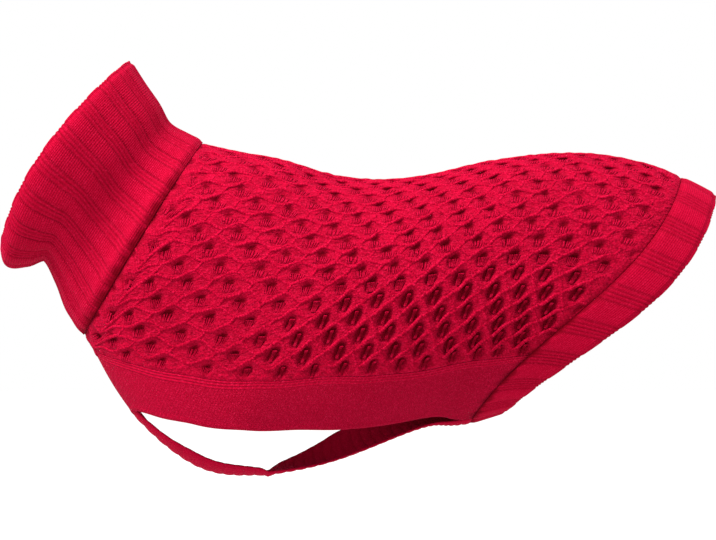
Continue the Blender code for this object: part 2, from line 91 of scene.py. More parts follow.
NOTCH_COLUMNS = ("place", "x", "z")
NOTCH_ROWS = (
    (-1.75, 0.0, 0.0),
    (-1.50, -4.5, -8.5),
    (-1.25, -0.5, -1.5),
    (-1.00, 5.5, 10.0),
    (-0.68, 4.0, 4.5),
    (-0.32, 0.5, 0.5),
    (0.00, 0.0, 0.0),
)
NOTCH_FOCUS = 4

EDGING_COLUMNS = ("share", "seam_place", "seam_deg", "edge_place", "edge_deg")
EDGING_ROWS = (
    (0.00, PLACE_CHEST_POINT, 180.0, PLACE_STRAP_FRONT, 180.0),
    (0.04, 0.34, 164.0, PLACE_STRAP_FRONT, 174.0),
    (0.09, 0.55, 151.0, PLACE_STRAP_FRONT, 165.5),
    (0.14, 0.78, 141.5, 1.23, 158.3),
    (0.20, 1.05, 133.0, 1.41, 150.1),
    (0.30, 1.60, 119.5, 1.82, 138.3),
    (0.42, 2.40, 110.0, 2.49, 131.9),
    (0.52, 3.10, 109.0, 3.10, 132.6),
    (0.66, 4.10, 113.0, 4.10, 138.2),
    (0.80, 5.20, 118.5, 5.20, 149.0),
    (0.90, 6.10, 119.0, 6.10, 156.5),
    (1.00, PLACE_HEM_SEAM, 116.0, PLACE_HEM_SEAM, 165.5),
)

STRAP_COLUMNS = ("place", "roll_deg", "half_width")
STRAP_ROWS = (
    (PLACE_STRAP_FRONT, 0.0, 14.0),
    (1.50, 7.0, 14.0),
    (2.00, 16.0, 14.0),
    (2.50, 14.0, 14.0),
    (3.00, 7.0, 14.0),
    (3.30, -9.0, 14.0),
    (3.65, -20.0, 14.0),
    (4.00, -31.0, 14.0),
    (4.40, -42.0, 14.0),
    (4.80, -43.0, 14.0),
    (5.60, -28.0, 14.0),
    (6.40, -8.0, 13.5),
    (PLACE_HEM_SEAM, 0.0, 13.0),
)

CREASE_COLUMNS = ("place_a", "deg_a", "place_b", "deg_b", "depth", "reach")
CREASES = (
    (0.30, 128.0, 0.52, 108.0, 1.2, 6.0),
    (0.22, 112.0, 0.40, 97.0, 0.9, 5.0),
)


# ---- smooth tables ----
def natural_tangents(knots, values):
    """Return the slopes at knots of a natural cubic spline through values there."""
    pull = 1 / np.diff(knots)
    rise = 3 * np.diff(values) * pull ** 2
    matrix = np.diag(pull, 1) + np.diag(pull, -1)
    matrix += np.diag(2 * (np.append(pull, 0) + np.append(0, pull)))
    return np.linalg.solve(matrix, np.append(rise, 0) + np.append(0, rise))


def steady_tangents(knots, values):
    """Return the slopes at knots of a curve that never swings past its values."""
    slopes = np.diff(values) / np.diff(knots)
    same_way = slopes[:-1] * slopes[1:] > 0
    means = 2 * slopes[:-1] * slopes[1:] / np.where(same_way, slopes[:-1] + slopes[1:], 1.0)
    return np.concatenate([slopes[:1], np.where(same_way, means, 0.0), slopes[-1:]])


def cubic_curve(knots, values, tangents):
    """Return a smooth function through values at knots, with given slopes there."""
    def curve(at):
        low = np.clip(np.searchsorted(knots, at, side="right") - 1, 0, len(knots) - 2)
        step = knots[low + 1] - knots[low]
        share = (at - knots[low]) / step
        rise = share ** 2 * (3 - 2 * share)
        leave = share * (1 - share) ** 2 * step * tangents[low]
        arrive = share ** 2 * (share - 1) * step * tangents[low + 1]
        return values[low] * (1 - rise) + values[low + 1] * rise + leave + arrive

    return curve


def smooth_table(columns, rows, find_tangents):
    """Return smooth functions of the first column, one for each other column."""
    knots, *others = np.array(rows, dtype=float).T
    return {name: cubic_curve(knots, values, find_tangents(knots, values))
            for name, values in zip(columns[1:], others)}


def named_rows(columns, rows):
    """Return each row of a table as a dictionary."""
    return [dict(zip(columns, row)) for row in rows]


RING = smooth_table(RING_COLUMNS, RINGS, natural_tangents)
NOTCH = smooth_table(NOTCH_COLUMNS, NOTCH_ROWS, steady_tangents)
EDGING = smooth_table(EDGING_COLUMNS, EDGING_ROWS, steady_tangents)
STRAP = smooth_table(STRAP_COLUMNS, STRAP_ROWS, steady_tangents)


def smoothstep(low, high, value):
    """Return 0 before low and 1 past high, with a soft rise between."""
    share = np.clip((value - low) / (high - low), 0, 1)
    return share * share * (3 - 2 * share)


def blend(ends, share):
    """Return the value a share of the way between two ends."""
    return ends[0] + (ends[1] - ends[0]) * share


def length(vectors):
    """Return the length of each vector."""
    return np.linalg.norm(vectors, axis=-1)


def unit(vectors):
    """Return each vector at a length of 1."""
    return vectors / length(vectors)[..., None]


# ---- the tube ----
def tube_smooth(place, angle):
    """Return points of the tube's smooth inner face."""
    back = np.stack([RING["back_x"](place), RING["back_z"](place)], axis=-1) * MM
    belly = np.stack([RING["belly_x"](place), RING["belly_z"](place)], axis=-1) * MM
    centre = (back + belly) / 2
    up = (back - belly) / 2
    tailwards = unit(np.stack([up[..., 1], -up[..., 0]], axis=-1))
    cosine = np.cos(angle)
    sine = np.sin(angle)
    push = RING["bow"](place) * MM * sine ** 2 * (1 + RING["bow_high"](place) * cosine)
    flat = centre + up * cosine[..., None] + tailwards * push[..., None]
    collar_place = np.minimum(place, PLACE_NECK_SEAM)
    notch = np.stack([NOTCH["x"](collar_place), NOTCH["z"](collar_place)], axis=-1) * MM
    flat = flat + notch * ((1 - cosine[..., None]) / 2) ** NOTCH_FOCUS
    across = RING["half_width"](place) * MM * sine * (1 + EGG * cosine)
    return np.stack([flat[..., 0], across, flat[..., 1]], axis=-1)


def tube_ways(place, angle):
    """Return the tube's change for a unit of place and of angle, and its normal."""
    along = tube_smooth(place + NUDGE, angle) - tube_smooth(place - NUDGE, angle)
    around = tube_smooth(place, angle + NUDGE) - tube_smooth(place, angle - NUDGE)
    return along / (2 * NUDGE), around / (2 * NUDGE), unit(np.cross(along, around))


def half_lap(way):
    """Return half a seam's lap in places or radians; way is the tube's change for one of them."""
    return SEAM_LAP / 2 / length(way)


def crease_depth(points):
    """Return how far each point is pressed in by the creases, in metres."""
    depth = np.zeros(points.shape[:-1])
    for crease in named_rows(CREASE_COLUMNS, CREASES):
        for side in (-1, 1):
            ends = tube_smooth(np.array([crease["place_a"], crease["place_b"]]),
                               side * np.radians([crease["deg_a"], crease["deg_b"]]))
            line = ends[1] - ends[0]
            share = np.clip((points - ends[0]) @ line / (line @ line), 0, 1)
            away = length(points - ends[0] - share[..., None] * line)
            press = crease["depth"] * MM * np.exp(-(away / (crease["reach"] * MM)) ** 2)
            depth = np.maximum(depth, press)
    return depth


WANDER_WAVES = 7
WANDER_SCALE = 1.4 * WANDER_WAVES ** 0.5  # brings the sum of the waves to about 1
WANDER_SPREAD = (0.7, 1.4)  # how many waves there are to a swell's size, least and most


def wander(points, strength, size, seed):
    """Return a soft wander over space, of about a strength, with swells of about a size."""
    draw = np.random.default_rng(seed)
    total = np.zeros(points.shape[:-1])
    for _ in range(WANDER_WAVES):
        way = draw.normal(size=3)
        way *= 2 * np.pi * draw.uniform(*WANDER_SPREAD) / size / length(way)
        total += np.sin(points @ way + draw.uniform(0, 2 * np.pi))
    return strength * total / WANDER_SCALE


# Where the worn cloth swells or is drawn in: place and reach in places, how far out in mm, and the
# share of that which shows over the back and belly too.
LIFT_COLUMNS = ("place", "reach", "lift", "all_round")
LIFTS = (
    (-1.60, 0.22, 1.8, 0.0),
    (-0.56, 0.34, -4.6, 0.0),
    (-0.13, 0.09, 2.4, 0.2),
    (PLACE_NECK_SEAM, 0.05, -2.3, 0.4),
    (PLACE_HEM_SEAM, 0.05, -0.9, 1.0),
)
LOW_LIFT = 0.3  # how much more of a lift shows on the lower half of the sides
WORN_WANDER = (0.5 * MM, 0.07, 11)  # how uneven the worn cloth is: strength, size and seed


def tube_face(place, angle):
    """Return the worn inner face, with creases and swells, and its normals."""
    points = tube_smooth(place, angle)
    _, _, normal = tube_ways(place, angle)
    lift = wander(points, *WORN_WANDER)
    sides = np.sin(angle) ** 2 * (1 - LOW_LIFT * np.cos(angle))
    for swell in named_rows(LIFT_COLUMNS, LIFTS):
        share = blend((swell["all_round"], 1.0), sides)
        near = np.exp(-((place - swell["place"]) / swell["reach"]) ** 2)
        lift = lift + swell["lift"] * MM * share * near
    return points + normal * (lift - crease_depth(points))[..., None], normal


# ---- meshes from grids ----
TIE_SHIFT = 1e-9  # lets the first row's point come first where both rows have one


def zip_edges(first, second, first_at, second_at):
    """Return triangles between two rows of vertex numbers that run side by side."""
    faces = []
    here = 0
    there = 0
    steps = [(at, False) for at in first_at[1:]] + [(at + TIE_SHIFT, True) for at in second_at[1:]]
    for _, on_second in sorted(steps):
        if on_second:
            faces.append([first[here], second[there + 1], second[there]])
            there += 1
        else:
            faces.append([first[here], first[here + 1], second[there]])
            here += 1
    return faces


def put_in_scene(name, data):
    """Return a new object that shows some data."""
    thing = bpy.data.objects.new(name, data)
    bpy.context.scene.collection.objects.link(thing)
    return thing


def shaded_piece(mesh, shades):
    """Return a smooth piece of a mesh, with named values at its points for the material."""
    for name, values in shades.items():
        attribute = mesh.attributes.new(name, "FLOAT", "POINT")
        attribute.data.foreach_set("value", values.astype(np.float32).ravel())
    mesh.shade_smooth()
    return put_in_scene(mesh.name, mesh)


def cloth_mesh(name, points, uv, shades, cap_at=None):
    """Make a piece from a grid of points, whose last column repeats its first.

    A ring's last row repeats its first too. A strip is open there and has cap_at: the shares across
    its outer and its inner face, in the grid's order, from which its two ends are closed.
    """
    ring = cap_at is None
    rows = points.shape[0] - ring
    columns = points.shape[1] - 1
    numbers = np.arange(rows * columns).reshape(rows, columns)
    numbers = np.column_stack([numbers, numbers[:, 0]])
    if ring:
        numbers = np.vstack([numbers, numbers[:1]])
    corners = np.s_[:-1, :-1], np.s_[1:, :-1], np.s_[1:, 1:], np.s_[:-1, 1:]
    faces = np.stack([numbers[corner] for corner in corners], axis=-1).reshape(-1, 4).tolist()
    if not ring:
        outer_at, inner_at = cap_at
        inside = np.arange(columns - len(inner_at) + 1, columns + 1)[::-1]
        for row, flip in ((numbers[0], False), (numbers[-1], True)):
            for face in zip_edges(row[:len(outer_at)], row[inside], outer_at, inner_at[::-1]):
                faces.append([int(corner) for corner in (face[::-1] if flip else face)])
    mesh = bpy.data.meshes.new(name)
    mesh.from_pydata(points[:rows, :columns].reshape(-1, 3).tolist(), [], faces)
    corner_uv = np.stack([uv[corner] for corner in corners], axis=-2).reshape(-1, 2)
    flat_uv = np.zeros((len(mesh.loops), 2), dtype=np.float32)
    flat_uv[:len(corner_uv)] = corner_uv
    mesh.uv_layers.new(name="knit").uv.foreach_set("vector", flat_uv.ravel())
    return shaded_piece(mesh, {shade: values[:rows, :columns] for shade, values in shades.items()})


RIM_STEPS = 5  # rows of points round a soft free edge


def wall_path(low, high, outer_count, inner_count):
    """Return a closed path over the outer face, low to high, and back over the inner face.

    The path is an array of places, one of layers (1 outside, 0 inside) and one of reach, which is
    how far a point stands past its free edge, from -1 to 1, as the wall rounds it.
    """
    turn = np.linspace(0, np.pi, RIM_STEPS + 1)[1:-1]
    place = np.concatenate([np.linspace(low, high, outer_count), np.full(len(turn), high),
                            np.linspace(high, low, inner_count), np.full(len(turn), low), [low]])
    layer = np.concatenate([np.ones(outer_count), 0.5 + 0.5 * np.cos(turn),
                            np.zeros(inner_count), 0.5 - 0.5 * np.cos(turn), [1.0]])
    reach = np.concatenate([np.zeros(outer_count), np.sin(turn),
                            np.zeros(inner_count), -np.sin(turn), [0.0]])
    return place, layer, reach


def strip_grid(u, outer_count, inner_count):
    """Return a strip's grids of shares along and across it, its layers and reach, and its faces.

    The faces are slices of a row of the grid: the outer face first, then the inner one.
    """
    path, layer, reach = wall_path(0.0, 1.0, outer_count, inner_count)
    inner_from = outer_count + RIM_STEPS - 1
    faces = (slice(0, outer_count), slice(inner_from, inner_from + inner_count))
    u_grid, v_grid = np.meshgrid(u, path, indexing="ij")
    return u_grid, v_grid, layer, reach, faces


# ---- painted shade of the seams ----
# Each sewn ring is a valley that gets painted shade in slots: their number round it, and the angles
# off the back between which the painted shade deepens, as it is weaker over the back, where the
# light falls. Its reach is a middle one with waves, which have a height, a pace against the slots
# and a start.
SEAM_SHADES = {"neck": (46, (25.0, 65.0)), "hem": (60, (50.0, 115.0))}
SEAM_SHADE_REACH = 2.9 * MM
SEAM_SHADE_WAVES = ((1.2 * MM, 1.0, 5.1), (1.1 * MM, 0.41, 1.0))
SEAM_SHADE = (0.25 * 0.95, 0.95)  # how much painted shade a seam's valley gets over the back and at its deepest


def seam_painted_shade(seam, away, angle, wider=0.0):
    """Return the painted shade, 0 to 1, in the valley at a distance from the neck's or hem's seam."""
    slots, deepens = SEAM_SHADES[seam]
    off_back = np.abs(np.mod(angle + np.pi, 2 * np.pi) - np.pi)
    waves = sum(high * np.cos(pace * slots * off_back + start) for high, pace, start in SEAM_SHADE_WAVES)
    shade = blend(SEAM_SHADE, smoothstep(*np.radians(deepens), off_back))
    return shade * np.exp(-(away / (SEAM_SHADE_REACH + waves + wider)) ** 2)


# ---- rib knit ----
# The two bands of wide-rib knit: places where each begins and ends, its repeats of one wide rib and
# some fine ones, its wall, the height of its ribs, and its points outside, inside and round.
BAND_COLUMNS = ("seam", "low", "high", "groups", "fine_ribs", "wall", "rib", "counts")
COLLAR_BAND, HEM_BAND = named_rows(BAND_COLUMNS, (
    ("neck", PLACE_RIM, PLACE_NECK_SEAM + LAP_PLACES, 20, 3, 2.2 * MM, 1.2 * MM, (118, 34, 504)),
    ("hem", PLACE_HEM_SEAM - LAP_PLACES, PLACE_HEM_EDGE, 20, 4, 1.9 * MM, 1.0 * MM, (44, 20, 640)),
))
RIB_SIDE = 0.12  # share of a wide rib over which each side rises
RIB_CROWN = 0.18  # how much higher a wide rib is in its middle, as a share
FINE_RIB = 0.80  # a fine rib's height against a wide one's
FREE_ROUND = (0.5, 0.8)  # how far a free edge rounds outwards, in its wall's and its ribs' heights
FREE_PINCH = 0.45  # how much thinner a band is at its free edge, as a share
FREE_REACH = 2.0 * MM
INSIDE_RIB = (0.5, 0.3)  # how deep the grooves are inside against the ribs, less a share of pinch


def rib_relief(turns, groups, fine_ribs):
    """Return the height, 0 to 1, of wide-rib knit at turns round the ring."""
    share = (turns * groups + WIDE_SHARE / 2) % 1.0
    side = np.minimum(share, WIDE_SHARE - share) / WIDE_SHARE
    crown = blend((1 - RIB_CROWN, 1.0), np.sin(np.pi * share / WIDE_SHARE))
    wide = crown * np.sin(np.clip(side / RIB_SIDE, 0, 1) * np.pi / 2)
    fine = FINE_RIB * np.abs(np.sin(np.pi * fine_ribs * (share - WIDE_SHARE) / (1 - WIDE_SHARE)))
    return np.where(share < WIDE_SHARE, wide, fine)


def rib_ring(name, band):
    """Make a closed band of rib knit, with one sewn edge and one soft free edge."""
    outer_count, inner_count, ring_count = band["counts"]
    path, layer, reach = wall_path(band["low"], band["high"], outer_count, inner_count)
    place, turns = np.meshgrid(path, np.linspace(0, 1, ring_count + 1), indexing="ij")
    angle = turns * 2 * np.pi
    relief = rib_relief(turns, band["groups"], band["fine_ribs"])
    rib = band["rib"] * relief
    groove = band["rib"] - rib
    along, _, _ = tube_ways(place, angle)
    speed = length(along)
    at_neck = band["seam"] == "neck"
    soft = np.where((reach < 0) == at_neck, reach, 0.0)[:, None]
    place = place + soft * (FREE_ROUND[0] * band["wall"] + FREE_ROUND[1] * rib) / speed
    points, normal = tube_face(place, angle)
    ends = ((place - band["low"]) * speed, (band["high"] - place) * speed)
    to_free, to_seam = ends if at_neck else ends[::-1]
    pinch = 1 - FREE_PINCH * np.exp(-(to_free / FREE_REACH) ** 2)
    outer = (band["wall"] + rib) * pinch
    inner = -INSIDE_RIB[0] * groove * (1 - INSIDE_RIB[1] * pinch)
    height = blend((inner, outer), layer[:, None])
    points = points + normal * height[..., None]
    uv = np.stack([turns * band["groups"] + WIDE_SHARE / 2, place], axis=-1)
    # groove marks the rib's grooves, which the material paints with painted shade; the seam's valley
    # gets painted shade too
    shades = {"groove": 1 - relief, "painted_shade": seam_painted_shade(band["seam"], to_seam, angle)}
    return cloth_mesh(name, points, uv, shades)


# ---- honeycomb ----
SHARE_STEPS = 400  # of an edging, for finding the share that lies at a place


def edging_share(place):
    """Return the edging's share at which its seam reaches a ring place."""
    shares = np.linspace(0, 1, SHARE_STEPS + 1)
    return np.interp(place, EDGING["seam_place"](shares), shares)


def panel_limit(place):
    """Return the angle, in radians, of the back panel's lower edge at a ring place."""
    seam_angle = np.radians(EDGING["seam_deg"](edging_share(place)))
    return np.where(place < PLACE_CHEST_POINT, np.pi, seam_angle)


# The honeycomb's pits in each part of the back panel, in mm: half their length and half their
# width, how they tilt up towards the tail, how far above the middle of its cell each one lies, the
# height of its floor, and how far the cell around it lies below the strands between cells. The last
# two are the pit's painted shade, from 0 to 1, strongest at its top under the strand above, and the
# share of that painted shade which is left at its lower end.
PIT_COLUMNS = ("zone", "half_length", "half_width", "tilt_deg", "rise", "floor", "bed", "pit_shade", "foot")
PIT_TABLE = (
    ("back", 2.4, 1.8, 25.0, 2.8, 0.2, 0.9, 0.86, 0.60),
    ("tail", 2.4, 1.9, 38.0, 2.5, 0.2, 0.9, 0.84, 0.60),
    ("chest", 3.6, 2.2, 32.0, 2.0, -0.5, 0.9, 0.92, 0.55),
    ("flank", 7.0, 3.4, 60.0, 0.2, -1.3, 0.5, 0.92, 0.50),
)
PIT_FORMS = {form["zone"]: form for form in named_rows(PIT_COLUMNS, PIT_TABLE)}
FLANK_DEG = (46.0, 94.0)  # where the back's pits turn into the flank's, off the back
CHEST_PLACES = (3.1, 1.1)  # where the flank's pits turn into the chest's
TAIL_PLACES = (4.4, 6.2)  # where the back's pits turn into the tail's
OPEN_FLOORS = (-0.2, -1.2)  # from closed pits to open ones, by the height of their floors
CELL_HALF = (7.5 * MM, 5.5 * MM)  # half a cell's length and height
CELL_UPPER = (-CELL_HALF[1], 0.6 * CELL_HALF[1])  # from a cell's foot to its upper part
FOOT_RISE = 0.7  # how much shallower a cell's bed is at its foot, as a share
STRAND_TOP = 2.7 * MM
STRAND_SIDE = 1.2 * MM  # how steeply a strand rises from a pit, and with what power
STRAND_POWER = 1.4
STRAND_HALF = 1.3 * MM
PIT_MELT = 0.35 * MM  # how softly pits that meet run together
PIT_CORE = 0.05  # the nearest to a pit's middle that a spot is taken to lie, as a share
DEEPEST = -4 * MM  # the farthest inside a pit that a spot is taken to lie
PIT_SHADE_FADE = (0.8 * MM, -0.8 * MM)  # from outside a pit to inside it, where its painted shade comes up
BED_SHADE_FADE = (-0.4 * MM, 1.2 * MM)  # from inside a pit to the bed around it, where the bed's painted shade comes up
QUIRK_MARGIN = 4  # rows and columns of quirks before the first pit's
QUIRK_COUNTS = (PIT_ROWS + 2 * QUIRK_MARGIN, PITS_ALONG + 2 + 2 * QUIRK_MARGIN, 4)
QUIRKS = np.random.default_rng(7).uniform(-1, 1, QUIRK_COUNTS)
QUIRK_SIZES = (0.055, 0.08, 0.14, np.radians(7))  # in repeats along, rows round, size and tilt
EDGE_PITS = 0.74  # size of the pits beside the edgings, as a share of the others
EDGE_HEIGHT = 2.1 * MM  # of the plain knit beside every seam
EDGE_FADES = (0.14, 0.22, 0.25)  # its width: repeats at the neck and hem, rows at the edgings
LEAST_WALL = 0.7 * MM  # of cloth left under a pit
SINK_ROWS = 0.9  # rows from a side edge over which the inner face sinks under the pits
PANEL_COUNTS = (272, 290, 56)  # points along, round the outer face, round the inner face


def pit_form(place, angle):
    """Return the pits' form at spots of the tube, as an array for each of its values."""
    low = smoothstep(*np.radians(FLANK_DEG), np.abs(angle))
    front = smoothstep(*CHEST_PLACES, place)
    rear = smoothstep(*TAIL_PLACES, place)
    shares = {"back": (1 - low) * (1 - rear), "tail": (1 - low) * rear,
              "chest": low * front, "flank": low * (1 - front)}
    return {column: sum(share * PIT_FORMS[zone][column] for zone, share in shares.items())
            for column in PIT_COLUMNS[1:]}


def pit_opening(form):
    """Return how open the pits are, from 0 over the back to 1 on the flank."""
    return smoothstep(*OPEN_FLOORS, form["floor"])


def bed_depth(form, upper):
    """Return how far a cell's bed lies below the strands; upper is 0 at its foot and 1 high up."""
    return form["bed"] * MM * (1 - FOOT_RISE * (1 - upper))


def way_up(row):
    """Return 1 where rows count upwards to the back, and -1 on the other side."""
    return np.where(row < (PIT_ROWS - 1) / 2, 1, -1)


def panel_spot(along, row):
    """Return the ring place and angle of spots given in pit repeats along and rows round."""
    place = PLACE_HEM_SEAM * along / PITS_ALONG
    return place, panel_limit(place) * (2 * (row + 0.5) / PIT_ROWS - 1)


def panel_metric(along, row):
    """Return the lengths of one repeat along and one row round, and the cosine between them."""
    step = 0.01
    ahead = tube_smooth(*panel_spot(along + step, row)) - tube_smooth(*panel_spot(along - step, row))
    aside = tube_smooth(*panel_spot(along, row + step)) - tube_smooth(*panel_spot(along, row - step))
    repeat = length(ahead)
    height = length(aside)
    cosine = np.sum(ahead * aside, axis=-1) / (repeat * height)
    return repeat / (2 * step), height / (2 * step), cosine


def pit_quirks(pit_row, column):
    """Return each pit's small shifts along and round, its size and its change of tilt."""
    at_row = np.clip(pit_row.astype(int) + QUIRK_MARGIN, 0, QUIRKS.shape[0] - 1)
    at_column = np.clip(column.astype(int) + QUIRK_MARGIN, 0, QUIRKS.shape[1] - 1)
    along, row, size, tilt = np.moveaxis(QUIRKS[at_row, at_column] * QUIRK_SIZES, -1, 0)
    at_edge = (pit_row <= 0) | (pit_row >= PIT_ROWS - 1)
    return along, row, np.where(at_edge, EDGE_PITS, 1.0) * (1 + size), tilt


def honeycomb(place, angle, along, row):
    """Return the honeycomb's outer height, its pits' painted shade and its beds' painted shade mask."""
    form = pit_form(place, angle)
    repeat, row_height, cosine = panel_metric(along, row)
    sine = np.sqrt(1 - cosine ** 2)
    sum_away = np.zeros_like(row)
    first = np.full_like(row, np.inf)
    second = np.full_like(row, np.inf)
    climb = np.zeros_like(row)
    for row_step in (-1, 0, 1):
        pit_row = np.round(row) + row_step
        offset = 0.5 * (pit_row % 2)
        for column_step in (-1, 0, 1):
            column = np.floor(along - offset) + column_step
            shift_along, shift_row, size, turn = pit_quirks(pit_row, column)
            off_along = along - offset - column - 0.5 - shift_along
            off_row = row - pit_row - shift_row
            x = off_along * repeat + off_row * row_height * cosine
            y = way_up(pit_row) * off_row * row_height * sine
            cell = np.hypot(x / CELL_HALF[0], y / CELL_HALF[1])
            second = np.minimum(second, np.maximum(first, cell))
            climb = np.where(cell < first, y, climb)
            first = np.minimum(first, cell)
            y = y - form["rise"] * MM
            tilt = np.radians(form["tilt_deg"]) + turn
            lengthways = (x * np.cos(tilt) + y * np.sin(tilt)) / (form["half_length"] * MM * size)
            sideways = (y * np.cos(tilt) - x * np.sin(tilt)) / (form["half_width"] * MM * size)
            inside = np.maximum(np.hypot(lengthways, sideways), PIT_CORE)
            away = np.hypot(x, y) * (1 - 1 / inside)
            sum_away += np.exp(-np.maximum(away, DEEPEST) / PIT_MELT)
    away = -PIT_MELT * np.log(sum_away)
    border = (second - first) / 2 * CELL_HALF[1]
    upper = smoothstep(*CELL_UPPER, climb)
    bed = 1 - np.exp(-(border / STRAND_HALF) ** 2)
    top = STRAND_TOP - bed_depth(form, upper) * bed
    strand = 1 - np.exp(-(np.maximum(away, 0) / STRAND_SIDE) ** STRAND_POWER)
    height = blend((form["floor"] * MM, top), strand)
    # painted shade in each pit: strongest at its top, under the strand above, and weaker at its foot
    painted_shade = form["pit_shade"] * blend((form["foot"], 1.0), upper) * smoothstep(*PIT_SHADE_FADE, away)
    # the last value is where the cells' beds show, which the material paints with painted shade
    return height, painted_shade, bed * smoothstep(*BED_SHADE_FADE, away)


def fade_to_edges(height, painted_shade, bed, u, v):
    """Settle the honeycomb and its painted shade to a plain knit edge along every seam."""
    at_neck, at_hem, at_side = EDGE_FADES
    edge = np.minimum.reduce([u * PITS_ALONG / at_neck, (1 - u) * PITS_ALONG / at_hem,
                              v * PIT_ROWS / at_side, (1 - v) * PIT_ROWS / at_side])
    inside = smoothstep(0, 1, edge)
    return blend((EDGE_HEIGHT, height), inside), painted_shade * inside, bed * inside


def inner_depth(place, angle, v):
    """Return the height of the panel's inner face, which sinks under the deep pits."""
    floor = pit_form(place, angle)["floor"] * MM
    from_edge = np.minimum(v, 1 - v) * PIT_ROWS
    return np.minimum(floor - LEAST_WALL, 0) * smoothstep(0, SINK_ROWS, from_edge)


def make_back_panel():
    """The honeycomb panel over the back and sides, closed round the throat."""
    rows, outer_count, inner_count = PANEL_COUNTS
    u, v, layer, _, faces = strip_grid(np.linspace(0, 1, rows), outer_count, inner_count)
    outer_face, inner_face = faces
    place = blend((PLACE_NECK_SEAM, PLACE_HEM_SEAM), u)
    limit = panel_limit(place)
    along_way, around_way, _ = tube_ways(place, limit * (2 * v - 1))
    speed = length(along_way)
    lap = half_lap(along_way)
    place = place - lap * (u == 0) + lap * (u == 1)
    limit = limit + half_lap(around_way)
    angle = limit * (2 * v - 1)
    points, normal = tube_face(place, angle)
    along = u * PITS_ALONG
    row = v * PIT_ROWS - 0.5
    height = EDGE_HEIGHT * np.broadcast_to(layer, v.shape)
    painted_shade = np.zeros_like(v)
    bed = np.zeros_like(v)
    relief = honeycomb(*(grid[:, outer_face] for grid in (place, angle, along, row)))
    relief = fade_to_edges(*relief, u[:, outer_face], v[:, outer_face])
    height[:, outer_face], painted_shade[:, outer_face], bed[:, outer_face] = relief
    inner_height = inner_depth(place, angle, v)
    height[:, outer_face] = np.maximum(height, inner_height + LEAST_WALL)[:, outer_face]
    height[:, inner_face] = inner_height[:, inner_face]
    points = points + normal * height[..., None]
    # painted shade in the seams' valleys, joined with the pits' painted shade; the bed mask gets
    # painted shade in the material
    neck_painted_shade = seam_painted_shade("neck", (place - PLACE_NECK_SEAM) * speed, angle)
    hem_painted_shade = seam_painted_shade("hem", (PLACE_HEM_SEAM - place) * speed, angle)
    shades = {"painted_shade": np.maximum.reduce([painted_shade, neck_painted_shade, hem_painted_shade]), "bed": bed}
    uv = np.stack([along, row], axis=-1)
    return cloth_mesh("back_panel_knit", points, uv, shades, [v[0, face] for face in faces])


# ---- strands and threads ----
# A pair holds where pits are closed and where they are open, unless its comment says otherwise.
YARN_UP = (0.0, 0.3, 1.0)  # a way that no strand or thread runs
STRAND_RADIUS = 1.40 * MM
STRAND_SIDES = 6
STRAND_STEPS = 6  # steps from a wave's crest to its trough
TIE_POINTS = 4  # points along a short tie between two strands
STRAND_LEVEL = (1.80 * MM, 2.00 * MM)  # height of a strand's middle
STRAND_WAVE = (0.20, 0.38)  # half a strand's wave, in rows
STRAND_SHEAR = (0.15, 0.36)  # how far a wave leans to the tail for its height there
STRAND_START = (0.05, 0.6)  # repeats from a seam over which a strand rises to its wave
STRAND_DIP = 0.9 * MM  # how far it lies lower at the seam
STRAND_INSET = 0.06  # repeats left between a strand's end and the seam
STRAND_WANDER = (0.07, 0.013, 31)  # of a strand in its row, in rows: strength, size and seed
STRAND_BUMPS = (0.30 * MM, 0.009, 32)  # of its height
WANDER_CELL = (23 * MM, 8 * MM)  # a repeat and a row, as these wanders see them

THREAD_RADIUS = 0.50 * MM
THREAD_SIDES = 4
THREAD_STEPS = 6
THREADS_IN_CELL = 8
THREAD_JITTER = 0.12  # how uneven a fan is, as a share of half its width
THREAD_END = 0.3  # repeats before the hem that have no threads
THREAD_LEAN = (0.22, 0.50)  # how far a thread leans to the tail for its height there
THREAD_HEAD = (-0.6, 1.1)  # its head above the pit's middle, in the pit's half widths
THREAD_LIE = 0.40 * MM  # how far a fan's middle lies above its bed
THREAD_CURL = 0.15 * MM  # how much lower its outer threads lie
THREAD_FOOT = 0.5 * MM  # how far a thread dips at its foot, and along how much of it
FOOT_SHARE = (0.15, 0.0)
THREAD_DIP = 1.3 * MM  # how far its head dives under the strand above, and along how much of it
DIP_SHARE = (0.6, 1.0)
THREAD_SHADE_DEPTH = 3.0 * MM  # below the strands, where a thread gets as much painted shade as a pit
CORD_TIGHT = 0.86  # how much narrower a fan is in the open pits, as a share
FAN_HALF = (4.6 * MM, 6.6 * MM)  # half the width of a cell's fan of threads, foot and head
FAN_FOOT = -4.9 * MM  # how far below the middle of its cell a thread starts
OPEN_SAG = (2.3 * MM, 0.7)  # how far threads sink in the open pits, and with what power


def yarn_piece(name, lines, radius, sides, shade, values):
    """Make a piece of thin tubes along lines, with a named value for each point of a line."""
    vertices = []
    faces = []
    turns = np.linspace(0, 2 * np.pi, sides, endpoint=False)[:, None]
    for line in lines:
        ahead = unit(np.gradient(line, axis=0))
        side = unit(np.cross(ahead, YARN_UP))
        rise = np.cross(side, ahead)
        ring = side[:, None] * np.cos(turns) + rise[:, None] * np.sin(turns)
        numbers = len(vertices) + np.arange(len(line) * sides).reshape(-1, sides)
        beside = np.roll(numbers, -1, axis=1)
        quads = np.stack([numbers[:-1], beside[:-1], beside[1:], numbers[1:]], axis=-1)
        vertices += (line[:, None] + radius * ring).reshape(-1, 3).tolist()
        faces += quads.reshape(-1, 4).tolist() + [numbers[0, ::-1].tolist(), numbers[-1].tolist()]
    mesh = bpy.data.meshes.new(name)
    mesh.from_pydata(vertices, [], faces)
    return shaded_piece(mesh, {shade: np.repeat(values, sides)})


